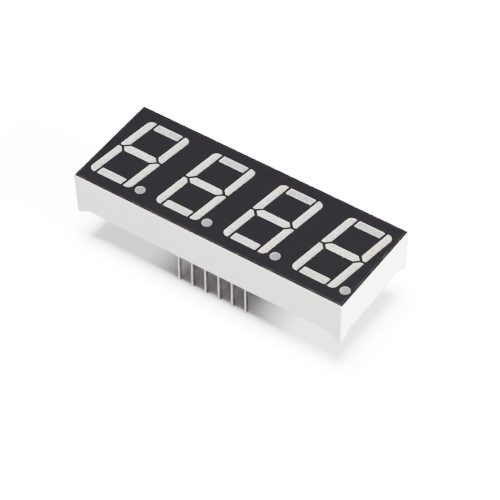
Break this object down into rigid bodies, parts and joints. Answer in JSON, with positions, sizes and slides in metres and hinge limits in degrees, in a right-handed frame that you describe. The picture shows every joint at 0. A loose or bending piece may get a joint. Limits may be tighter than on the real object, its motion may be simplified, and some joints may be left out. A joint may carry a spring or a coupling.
{
  "type": "seven segment display module",
  "caption": "Numeric display module with slanted seven-segment digits, decimal points, a black face, a white housing and two rows of solder pins.",
  "frame": {"origin": "centre of the pin pattern, on the plane of the feet's tips, where the module seats on its circuit board", "axes": "+X along the row of digits in reading order, +Y towards the tops of the digits, +Z out of the display face"},
  "size_m": [0.0502, 0.019, 0.0145],
  "materials": {
    "housing": "satin",
    "face": "satin",
    "resin": "matte",
    "board": "satin",
    "chip": "polished",
    "bond_wire": "polished",
    "pin": "satin"
  },
  "bodies": {
    "root": {"reflector_housing": "housing", "face_film": "face", "resin_fill": "resin", "circuit_board": "board", "led_1_a": "chip", "led_1_d": "chip", "led_1_g": "chip", "led_1_b": "chip", "led_1_c": "chip", "led_1_e": "chip", "led_1_f": "chip", "led_1_dp": "chip", "led_2_a": "chip", "led_2_d": "chip", "led_2_g": "chip", "led_2_b": "chip", "led_2_c": "chip", "led_2_e": "chip", "led_2_f": "chip", "led_2_dp": "chip", "led_3_a": "chip", "led_3_d": "chip", "led_3_g": "chip", "led_3_b": "chip", "led_3_c": "chip", "led_3_e": "chip", "led_3_f": "chip", "led_3_dp": "chip", "led_4_a": "chip", "led_4_d": "chip", "led_4_g": "chip", "led_4_b": "chip", "led_4_c": "chip", "led_4_e": "chip", "led_4_f": "chip", "led_4_dp": "chip", "bond_wires_1": "bond_wire", "bond_wires_2": "bond_wire", "bond_wires_3": "bond_wire", "bond_wires_4": "bond_wire", "pin_1": "pin", "pin_2": "pin", "pin_3": "pin", "pin_4": "pin", "pin_5": "pin", "pin_6": "pin", "pin_7": "pin", "pin_8": "pin", "pin_9": "pin", "pin_10": "pin", "pin_11": "pin", "pin_12": "pin"}
  },
  "joints": []
}
